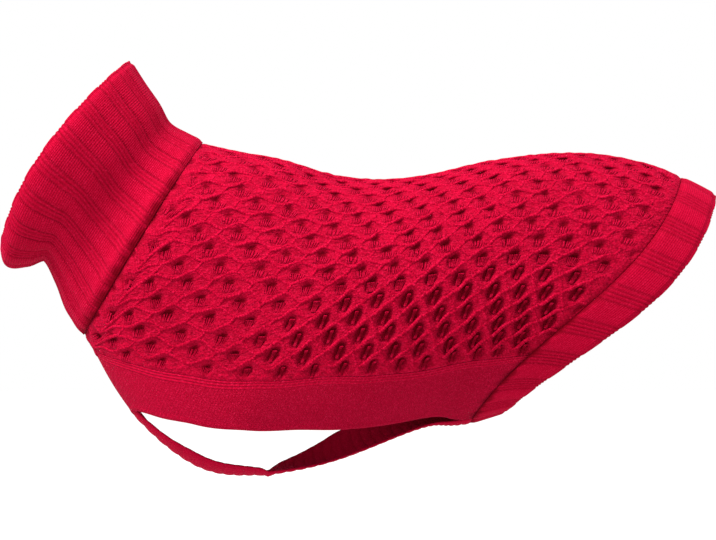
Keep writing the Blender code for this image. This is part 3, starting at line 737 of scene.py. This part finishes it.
def strand_line(along, rise, boundary):
    """Return points of the strand above a row of cells; rise is in half waves."""
    row = boundary + 0.5
    opening = pit_opening(pit_form(*panel_spot(along, np.full_like(along, row))))
    inside = smoothstep(*STRAND_START, np.minimum(along, PITS_ALONG - along))
    repeat_size, row_size = WANDER_CELL
    spot = np.stack([along * repeat_size, 0 * along + boundary * row_size, 0 * along], axis=-1)
    off_row = blend(STRAND_WAVE, opening) * rise * inside + wander(spot, *STRAND_WANDER)
    repeat, row_height, cosine = panel_metric(along, row + 0 * along)
    lean = way_up(row) * blend(STRAND_SHEAR, opening)
    off_along = off_row * row_height * (lean - cosine) / repeat
    points, normal = tube_face(*panel_spot(along + off_along, row + off_row))
    height = blend(STRAND_LEVEL, opening) - STRAND_DIP * (1 - inside) + wander(spot, *STRAND_BUMPS)
    return points + normal * height[..., None]


def make_net():
    """The honeycomb's strands: a wavy one between each two rows of cells, and short ties."""
    lines = []
    for boundary in range(PIT_ROWS - 1):
        half_waves = np.linspace(0, 2 * PITS_ALONG, 2 * PITS_ALONG * STRAND_STEPS + 1)
        along = np.clip(half_waves / 2, STRAND_INSET, PITS_ALONG - STRAND_INSET)
        lines.append(strand_line(along, -np.cos(np.pi * (half_waves + boundary)), boundary))
        if boundary == 0:
            continue
        for crest in range(1, 2 * PITS_ALONG):
            if (crest + boundary) % 2 == 0:
                along = np.full(2, crest / 2)
                upper = strand_line(along, np.full(2, -1.0), boundary)[0]
                lower = strand_line(along, np.full(2, 1.0), boundary - 1)[0]
                lines.append(lower + (upper - lower) * np.linspace(0, 1, TIE_POINTS)[:, None])
    runs = [np.cumsum(length(np.diff(line, axis=0, prepend=line[:1]))) for line in lines]
    runs = np.concatenate(runs) / MM
    return yarn_piece("net_strands", lines, STRAND_RADIUS, STRAND_SIDES, "run", runs)


def make_pit_threads():
    """The fine threads that fan up each cell to under the strand above its pit."""
    draw = np.random.default_rng(21)
    pit_row, column = np.meshgrid(np.arange(PIT_ROWS), np.arange(PITS_ALONG), indexing="ij")
    shift_along, shift_row, _, _ = pit_quirks(pit_row, column)
    along = column + 0.5 + 0.5 * (pit_row % 2) + shift_along
    kept = along < PITS_ALONG - THREAD_END
    row = (pit_row + shift_row)[kept][:, None, None]
    upward = way_up(pit_row)[kept][:, None, None]
    along = along[kept][:, None, None]
    form = pit_form(*panel_spot(along, row))
    opening = pit_opening(form)
    repeat, row_height, cosine = panel_metric(along, row)
    share = np.linspace(0, 1, THREAD_STEPS)
    spread = np.linspace(-1, 1, THREADS_IN_CELL)[:, None]
    spread = spread + draw.uniform(-THREAD_JITTER, THREAD_JITTER, (len(row), THREADS_IN_CELL, 1))
    head = (form["rise"] + blend(THREAD_HEAD, opening) * form["half_width"]) * MM
    y = blend((FAN_FOOT, head), share)
    x = spread * blend(FAN_HALF, share) * (1 - CORD_TIGHT * opening) + blend(THREAD_LEAN, opening) * y
    height = STRAND_TOP - bed_depth(form, smoothstep(*CELL_UPPER, y))
    height = height + THREAD_LIE - THREAD_CURL * np.abs(spread)
    height = height - THREAD_FOOT * smoothstep(*FOOT_SHARE, share)
    height = height - THREAD_DIP * smoothstep(*DIP_SHARE, share) * (1 - opening)
    height = height - OPEN_SAG[0] * opening * np.sin(np.pi * share) ** OPEN_SAG[1]
    off_row = upward * y / (row_height * np.sqrt(1 - cosine ** 2))
    off_along = (x - off_row * row_height * cosine) / repeat
    points, normal = tube_face(*panel_spot(along + off_along, row + off_row))
    lines = (points + normal * height[..., None]).reshape(-1, THREAD_STEPS, 3)
    # painted shade on the threads that lie deep below the strands
    depth = np.clip((STRAND_TOP - height) / THREAD_SHADE_DEPTH, 0, 1).reshape(-1)
    return yarn_piece("pit_threads", lines, THREAD_RADIUS, THREAD_SIDES, "painted_shade", depth)


# ---- edgings and strap ----
EDGING_COUNTS = (300, 40, 22)  # points along, across the outer face, across the inner face
EDGING_WALL = 2.0 * MM
EDGING_INSIDE = 0.15 * MM  # how far its inner face stands off the tube
EDGING_ROLL = 0.5 * MM  # height of the roll beside the free edge
ROLL_REACH = 2.0 * MM  # its reach, and how far its middle lies from the edge
EDGING_SHADE_WIDER = 0.5 * MM  # how much farther the hem seam's painted shade reaches on an edging
EDGING_LINES = 3  # dotted stitch lines beside the seam
EDGING_LINE_PITCH = 2.3 * MM
LEAST_WIDTH = 4.0 * MM  # of an edging, for rounding its free edge

STRAP_COUNTS = (430, 26, 26)
STRAP_INSET = 0.004  # places that the strap stops short of its ends
STRAP_HALF = 14.0 * MM
STRAP_WALL = 1.9 * MM
STRAP_RIB = 0.7 * MM
STRAP_RIB_POWER = 0.7  # below 1, a rib is flatter on top than a sine
STRAP_INSIDE = 0.8  # height of its inner ribs against the outer ones
STRAP_ROUND = (0.35, 8)  # how much thinner the strap is at its edges, as a share, and how suddenly
STRAP_GROOVE_SHADE = 0.6  # how much painted shade its grooves get
STRAP_REPEAT = 50 * MM  # of strap to a place, as its stitches see it


def make_edging(name, side):
    """One plain leg-opening edging; side is -1 for the dog's left and 1 for its right."""
    rows, outer_count, inner_count = EDGING_COUNTS
    shares = edging_share(PLACE_HEM_SEAM * np.linspace(PLACE_CHEST_POINT / PLACE_HEM_SEAM, 1, rows))
    u, v, layer, reach, faces = strip_grid(shares, outer_count, inner_count)
    seam_place = EDGING["seam_place"](u)
    seam_angle = np.radians(EDGING["seam_deg"](u))
    free_place = EDGING["edge_place"](u)
    free_angle = np.radians(EDGING["edge_deg"](u))
    place = blend((seam_place, free_place), v)
    angle = blend((seam_angle, free_angle), v)
    along_way, around_way, _ = tube_ways(place, angle)
    at_chest = u == shares[0]
    place = place + half_lap(along_way) * (u == shares[-1])
    angle = angle + half_lap(around_way) * np.where(at_chest, 1, -(v == 0).astype(int))
    across = tube_smooth(free_place, free_angle) - tube_smooth(seam_place, seam_angle)
    width = length(across)
    bulge = np.clip(reach, 0, 1) * 0.5 * EDGING_WALL / np.maximum(width, LEAST_WIDTH)
    place = place + (free_place - seam_place) * bulge
    angle = angle + (free_angle - seam_angle) * bulge
    points, normal = tube_face(place, side * angle)
    roll = EDGING_ROLL * np.exp(-(((1 - v) * width - ROLL_REACH) / ROLL_REACH) ** 2)
    height = blend((EDGING_INSIDE, EDGING_WALL + roll), layer)
    points = points + normal * height[..., None]
    uv = np.stack([v * width, place], axis=-1)
    to_hem = (PLACE_HEM_SEAM - place) * length(along_way)
    # painted shade in the hem seam's valley
    painted_shade = seam_painted_shade("hem", to_hem, angle, EDGING_SHADE_WIDER)
    if side < 0:
        points, uv, painted_shade = points[::-1], uv[::-1], painted_shade[::-1]
    return cloth_mesh(name, points, uv, {"painted_shade": painted_shade}, [v[0, face] for face in faces])


def strap_points(place, share, height):
    """Return the strap's points; share runs across it, -1 at its left edge to 1."""
    belly = np.full_like(place, np.pi)
    along, around, down = tube_ways(place, belly)
    half_width = STRAP["half_width"](place) * MM
    half_angle = half_width / length(around)
    middle = tube_smooth(place, belly)
    spots = tube_smooth(place, np.pi + half_angle * share)
    _, _, outward = tube_ways(place, np.pi + half_angle * share)
    roll = np.radians(STRAP["roll_deg"](place))[..., None]
    ahead = unit(along)
    lift = -down * half_width[..., None] * np.abs(np.sin(roll))
    section = spots + outward * height[..., None] - middle
    lengthways = np.sum(section * ahead, axis=-1, keepdims=True) * ahead * (1 - np.cos(roll))
    turned = section * np.cos(roll) - np.cross(ahead, section) * np.sin(roll) + lengthways
    return middle + lift + turned


def make_belly_strap():
    """The rib strap between the legs, ribbed on both faces."""
    rows, outer_count, inner_count = STRAP_COUNTS
    first = PLACE_STRAP_FRONT + STRAP_INSET
    last = PLACE_HEM_SEAM - STRAP_INSET
    strip = strip_grid(np.linspace(first, last, rows), outer_count, inner_count)
    place, v, layer, reach, faces = strip
    share = 2 * v - 1
    ribs = np.abs(np.sin(np.pi * STRAP_RIBS * (place - first) / (last - first))) ** STRAP_RIB_POWER
    rounded = 1 - STRAP_ROUND[0] * np.abs(share) ** STRAP_ROUND[1]
    outer = (STRAP_WALL + STRAP_RIB * ribs) * rounded
    inner = -STRAP_INSIDE * STRAP_RIB * ribs * rounded
    height = blend((inner, outer), layer)
    stretch = 1 + reach * 0.5 * STRAP_WALL / STRAP_HALF
    share = np.where(np.abs(reach) > 0, np.sign(share) * stretch ** np.sign(share), share)
    points = strap_points(place, share, height)
    uv = np.stack([share * STRAP_HALF, place * STRAP_REPEAT], axis=-1)
    # the strap's grooves get painted shade in the material
    shades = {"groove": STRAP_GROOVE_SHADE * (1 - ribs)}
    return cloth_mesh("belly_strap_knit", points, uv, shades, [v[0, face] for face in faces])


# ---- materials ----
class Shade:
    """A material's nodes, made one after another."""

    def __init__(self, name):
        self.material = bpy.data.materials.new(name)
        self.material.use_nodes = True
        self.tree = self.material.node_tree
        self.shader = self.tree.nodes["Principled BSDF"]

    def fill(self, node, values):
        """Link each named socket of a node, or set a plain value on it."""
        for socket, value in values.items():
            if isinstance(value, bpy.types.NodeSocket):
                self.tree.links.new(value, node.inputs[socket])
            else:
                node.inputs[socket].default_value = value

    def node(self, kind, values, **settings):
        """Return a new node with its settings and the values of its sockets."""
        node = self.tree.nodes.new("ShaderNode" + kind)
        for setting, value in settings.items():
            setattr(node, setting, value)
        self.fill(node, values)
        return node

    def math(self, operation, *values):
        """Return the result of one Math node."""
        return self.node("Math", dict(enumerate(values)), operation=operation).outputs[0]

    def times(self, first, second):
        """Return a product."""
        return self.math("MULTIPLY", first, second)

    def fit(self, value, factor, offset):
        """Return a value times a factor, plus an offset."""
        return self.math("MULTIPLY_ADD", value, factor, offset)

    def wave(self, value, crests=1.0):
        """Return a cosine wave with some crests to each unit of a value."""
        return self.math("COSINE", self.times(value, 2 * np.pi * crests))

    def choose(self, value, limit, below, above):
        """Return one value where another is less than a limit, and a third elsewhere."""
        test = self.math("LESS_THAN", value, limit)
        return self.fit(test, self.math("SUBTRACT", below, above), above)

    def attribute(self, name):
        """Return the value that each point of the mesh carries under a name."""
        return self.node("Attribute", {}, attribute_name=name).outputs["Fac"]

    def uv(self):
        """Return the two knit coordinates."""
        coordinates = self.node("UVMap", {}, uv_map="knit").outputs["UV"]
        split = self.node("SeparateXYZ", {"Vector": coordinates})
        return split.outputs["X"], split.outputs["Y"]

    def noise(self, scale, detail, roughness, stretch=1.0):
        """Return soft noise over space, stretched along the body."""
        where = self.node("TexCoord", {}).outputs["Object"]
        mapping = self.node("Mapping", {"Vector": where, "Scale": (1 / stretch, 1.0, 1.0)})
        values = {"Vector": mapping.outputs["Vector"], "Scale": scale, "Detail": detail}
        return self.node("TexNoise", {**values, "Roughness": roughness}).outputs["Fac"]

    def mix(self, share, first, second):
        """Return a blend of two colours."""
        values = {"Factor": share, "A": first, "B": second}
        return self.node("Mix", values, data_type="RGBA", clamp_factor=True).outputs["Result"]

    def bump(self, height, strength, distance, **below):
        """Return a normal that is raised by height."""
        values = {"Strength": strength, "Distance": distance, "Height": height, **below}
        return self.node("Bump", values).outputs["Normal"]


# Noises: waves a metre, detail, roughness and, for the streaks, their stretch.
TONE_NOISE = (26.0, 3.0, 0.6)
FIBRE_NOISE = (900.0, 3.0, 0.7)
YARN_NOISE = (520.0, 3.0, 0.7)
STREAK_NOISE = (380.0, 2.0, 0.6, 2.0)

# Sizes of stitches: wales in a repeat of wide-rib knit, the width of a wale on an edging and on the
# strap, courses to a place on an edging, plies to a row and to a repeat of the honeycomb's cells,
# and the mm of a strand to each stitch.
RIB_WALES = 14
EDGING_WALE = 1.9 * MM
STRAP_WALE = 1.6 * MM
EDGING_COURSES = 27.0
ROW_PLIES = 5.0
REPEAT_PLIES = 8.0
STITCH_RUN = 2.1

# How high stitches and fibres stand. A pair is a factor and an offset.
LEG_SLANT = 1.3  # of a stitch's two legs, in courses
LOOP_WAVE = (0.35, 0.65)
EVEN_WAVE = (0.5, 0.5)
WIDE_MIX = (0.35, 0.65)  # wales and courses on a wide rib
FINE_WAVE = (0.2, 0.7)
DOT_WAVE = (0.20, 0.55)
LINE_GROOVE = -0.55
PLY_WAVE = (0.16, -0.89)
STREAK_HEIGHT = 3.0
KNOT_WAVE = (0.11, -0.59)
YARN_HEIGHT = 2.2

# How a knit's fibres and a yarn look. A bump is its strength and its height. A yarn's low parts get
# painted shade, and its high fibres a paler tone that stands for painted highlight.
NAP_BUMP = (0.30, 0.35 * MM)
STITCH_BUMP = 0.8 * MM
KNIT_ROUGH = (0.16, 0.80)
YARN_GAP_SHADE = (-1.6, 0.992)
YARN_TOP_HIGHLIGHT = (1.0, -0.55)
YARN_BUMP = (0.9, 0.6 * MM)
YARN_ROUGH = 0.9


def stitch_height(shade, wales, courses):
    """Return the height of stocking stitch: two slanting legs in each wale, once a course."""
    across = shade.math("ABSOLUTE", shade.math("SUBTRACT", shade.math("FRACT", wales), 0.5))
    off_leg = shade.fit(across, 4.0, -1.0)
    leg = shade.fit(shade.times(off_leg, off_leg), -1.0, 1.0)
    loop = shade.fit(shade.wave(shade.fit(across, LEG_SLANT, courses)), *LOOP_WAVE)
    return shade.times(leg, loop)


def rib_stitches(courses_per_place):
    """Return a maker of stitch heights for a rib ring, from its groups and places."""
    def stitches(shade, turns, place):
        course = shade.fit(shade.wave(place, courses_per_place), *EVEN_WAVE)
        wale = shade.fit(shade.wave(turns, RIB_WALES), *EVEN_WAVE)
        on_wide = shade.fit(wale, WIDE_MIX[0], shade.times(course, WIDE_MIX[1]))
        on_fine = shade.fit(course, *FINE_WAVE)
        return shade.choose(shade.math("FRACT", turns), WIDE_SHARE, on_wide, on_fine)
    return stitches


def edging_stitches(shade, from_seam, place):
    """Stitch height on an edging: fine wales along it, and dotted lines beside its seam."""
    courses = shade.times(place, EDGING_COURSES)
    fine = stitch_height(shade, shade.times(from_seam, 1 / EDGING_WALE), courses)
    dots = shade.fit(shade.wave(courses, 0.5), *DOT_WAVE)
    lines = shade.fit(shade.wave(from_seam, 1 / EDGING_LINE_PITCH), LINE_GROOVE, dots)
    return shade.choose(from_seam, EDGING_LINES * EDGING_LINE_PITCH, lines, fine)


def strap_stitches(shade, across, along):
    """Stitch height on the strap: wales run across it."""
    return stitch_height(shade, shade.times(along, 1 / STRAP_WALE), shade.times(across, 1 / STRAP_WALE))


def honeycomb_stitches(shade, along, row):
    """Stitch height on the honeycomb: slanting plies among rough fibres."""
    slant = shade.fit(row, ROW_PLIES, shade.times(along, REPEAT_PLIES))
    plies = shade.fit(shade.wave(slant), *PLY_WAVE)
    return shade.fit(shade.noise(*STREAK_NOISE), STREAK_HEIGHT, plies)


# Colours of the cotton: its tones; the painted shade in the gaps between stitches and in hollows;
# the deeper painted shade in the pits, the seams' valleys and the deep threads; and the nap's paler
# fibres, which also stand for painted highlight where fuzz catches the light.
BASE = (0.216, 0.0002, 0.0105, 1.0)
BRIGHT = (0.280, 0.0004, 0.0155, 1.0)
CREVICE_SHADE = (0.100, 0.0001, 0.0040, 1.0)
PIT_SHADE_COLOUR = (0.082, 0.0, 0.0026, 1.0)
FIBRE_AND_HIGHLIGHT = (0.45, 0.008, 0.046, 1.0)
COTTON = {"Specular IOR Level": 0.02, "Sheen Weight": 0.12, "Sheen Roughness": 0.45,
          "Sheen Tint": (1.0, 0.02, 0.14, 1.0)}
FLOOR_WHITE = {"Base Color": (0.42, 0.42, 0.42, 1.0), "Roughness": 0.9, "Specular IOR Level": 0.0,
               "Emission Color": (1.0, 1.0, 1.0, 1.0), "Emission Strength": 0.62}

# How each knit looks: the maker of its stitches and the strength of their bump, how much painted
# shade the gaps between them get, how much pale nap shows, partly as painted highlight, and a named
# hollow of the mesh with how much painted shade that gets.
LOOK_COLUMNS = ("name", "stitches", "bump", "gap_shade", "nap", "hollow", "hollow_shade")
LOOK_ROWS = (
    ("collar", rib_stitches(COLLAR_COURSES), 0.50, 0.74, 2.0, "groove", 0.90),
    ("hem", rib_stitches(HEM_COURSES), 0.35, 0.36, 1.8, "groove", 0.75),
    ("strap", strap_stitches, 0.40, 0.22, 2.0, "groove", 0.30),
    ("plain", edging_stitches, 0.80, 0.48, 2.8, "groove", 0.0),
    ("honeycomb", honeycomb_stitches, 1.0, 0.62, 2.2, "bed", 0.30),
)
LOOKS = {look["name"]: look for look in named_rows(LOOK_COLUMNS, LOOK_ROWS)}


def cotton_material(shade, tone, rough, normal):
    """Finish a matt cotton with a slight sheen, with painted shade in its pits and seam valleys."""
    tone = shade.mix(shade.attribute("painted_shade"), tone, PIT_SHADE_COLOUR)
    shade.fill(shade.shader, {"Base Color": tone, "Roughness": rough, "Normal": normal, **COTTON})
    return shade.material


def knit_material(name, look):
    """Return a cotton knit of a look, with painted shade in its gaps and hollows."""
    shade = Shade(name)
    height = look["stitches"](shade, *shade.uv())
    fuzz = shade.noise(*FIBRE_NOISE)
    tone = shade.mix(shade.noise(*TONE_NOISE), BASE, BRIGHT)
    # painted shade in the gaps between stitches and in the mesh's hollows
    tone = shade.mix(shade.fit(height, -look["gap_shade"], look["gap_shade"]), tone, CREVICE_SHADE)
    hollow = shade.times(shade.attribute(look["hollow"]), look["hollow_shade"])
    tone = shade.mix(hollow, tone, CREVICE_SHADE)
    # paler nap speckle: partly pale fibres, partly painted highlight where fuzz catches the light
    tone = shade.mix(shade.fit(fuzz, look["nap"], -0.5 * look["nap"]), tone, FIBRE_AND_HIGHLIGHT)
    nap = shade.bump(fuzz, *NAP_BUMP)
    normal = shade.bump(height, look["bump"], STITCH_BUMP, Normal=nap)
    return cotton_material(shade, tone, shade.fit(fuzz, *KNIT_ROUGH), normal)


def yarn_material(name):
    """Return a cotton yarn with rough fibres and a knot at each stitch."""
    shade = Shade(name)
    knots = shade.fit(shade.wave(shade.attribute("run"), 1 / STITCH_RUN), *KNOT_WAVE)
    rough = shade.fit(shade.noise(*YARN_NOISE), YARN_HEIGHT, knots)
    tone = shade.mix(shade.noise(*TONE_NOISE), BASE, BRIGHT)
    # painted shade where the yarn is low, and painted highlight on its high fibres
    tone = shade.mix(shade.fit(rough, *YARN_GAP_SHADE), tone, CREVICE_SHADE)
    tone = shade.mix(shade.fit(rough, *YARN_TOP_HIGHLIGHT), tone, FIBRE_AND_HIGHLIGHT)
    return cotton_material(shade, tone, YARN_ROUGH, shade.bump(rough, *YARN_BUMP))


def floor_material():
    """Return the material of a white studio floor that is lit from below too."""
    shade = Shade("floor_white")
    shade.fill(shade.shader, FLOOR_WHITE)
    return shade.material


# ---- camera, floor and light ----
VIEW_WIDTH = 0.5513  # metres across the picture at the sweater's middle plane
VIEW_CENTRE = (-0.0131, -0.0671)  # what the camera looks at, along X and Z
CAMERA_DISTANCE = 4.0
SENSOR = 36.0
FLOOR_Z = -0.30
FLOOR_RADIUS = 6.0
FLOOR_CORNERS = 64
LIGHT_TARGET = (0.0, 0.0, -0.05)


def make_camera():
    """A long lens that looks level along +Y at the dog's left side."""
    data = bpy.data.cameras.new("camera")
    data.sensor_width = SENSOR
    data.lens = SENSOR * CAMERA_DISTANCE / VIEW_WIDTH
    data.clip_end = 60.0
    camera = put_in_scene("camera", data)
    camera.location = (VIEW_CENTRE[0], -CAMERA_DISTANCE, VIEW_CENTRE[1])
    camera.rotation_euler = (np.pi / 2, 0.0, 0.0)
    bpy.context.scene.camera = camera


def area_light(name, place, size, power):
    """A square softbox at place that faces the sweater."""
    data = bpy.data.lights.new(name, "AREA")
    data.size = size
    data.energy = power
    light = put_in_scene(name, data)
    light.location = place
    way = np.subtract(LIGHT_TARGET, place)
    level = np.hypot(way[0], way[1])
    light.rotation_euler = (np.arctan2(level, -way[2]), 0.0, np.arctan2(way[1], way[0]) - np.pi / 2)


def make_studio():
    """A wide white floor, a white surround and two softboxes above the dog's left side."""
    turns = np.linspace(0, 2 * np.pi, FLOOR_CORNERS, endpoint=False)
    ring = [(FLOOR_RADIUS * np.cos(turn), FLOOR_RADIUS * np.sin(turn), FLOOR_Z) for turn in turns]
    mesh = bpy.data.meshes.new("floor")
    mesh.from_pydata(ring, [], [list(range(FLOOR_CORNERS))])
    mesh.materials.append(floor_material())
    floor = put_in_scene("floor", mesh)
    world = bpy.data.worlds.new("studio")
    world.use_nodes = True
    background = world.node_tree.nodes["Background"].inputs
    background["Color"].default_value = (1.0, 1.0, 1.0, 1.0)
    background["Strength"].default_value = 1.0
    bpy.context.scene.world = world
    area_light("key", (-1.21, -0.99, 1.54), 1.0, 150.0)
    area_light("top", (0.88, -0.22, 1.98), 1.2, 46.0)
    bpy.context.scene.view_settings.view_transform = "Standard"
    bpy.context.scene.view_settings.look = "None"


# ---- the pieces ----
def finish_piece(piece, material):
    """Give a piece its material and hang it under the root body."""
    piece.data.materials.append(material)
    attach(piece, "root")


make_camera()
make_studio()
panel = make_back_panel()
finish_piece(panel, knit_material("honeycomb_cotton", LOOKS["honeycomb"]))
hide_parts("back_panel")
yarns = [make_net(), make_pit_threads()]
for yarn in yarns:
    finish_piece(yarn, yarn_material(yarn.name + "_cotton"))
collar = rib_ring("collar_knit", COLLAR_BAND)
finish_piece(collar, knit_material("collar_cotton", LOOKS["collar"]))
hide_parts("collar")
hem = rib_ring("hem_knit", HEM_BAND)
finish_piece(hem, knit_material("hem_cotton", LOOKS["hem"]))
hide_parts("hem_band")
for edging_name, edging_side in (("edging_left", -1), ("edging_right", 1)):
    edging = make_edging(edging_name + "_knit", edging_side)
    finish_piece(edging, knit_material(edging_name + "_cotton", LOOKS["plain"]))
    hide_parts(edging_name)
strap = make_belly_strap()
finish_piece(strap, knit_material("strap_cotton", LOOKS["strap"]))
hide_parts("belly_strap")
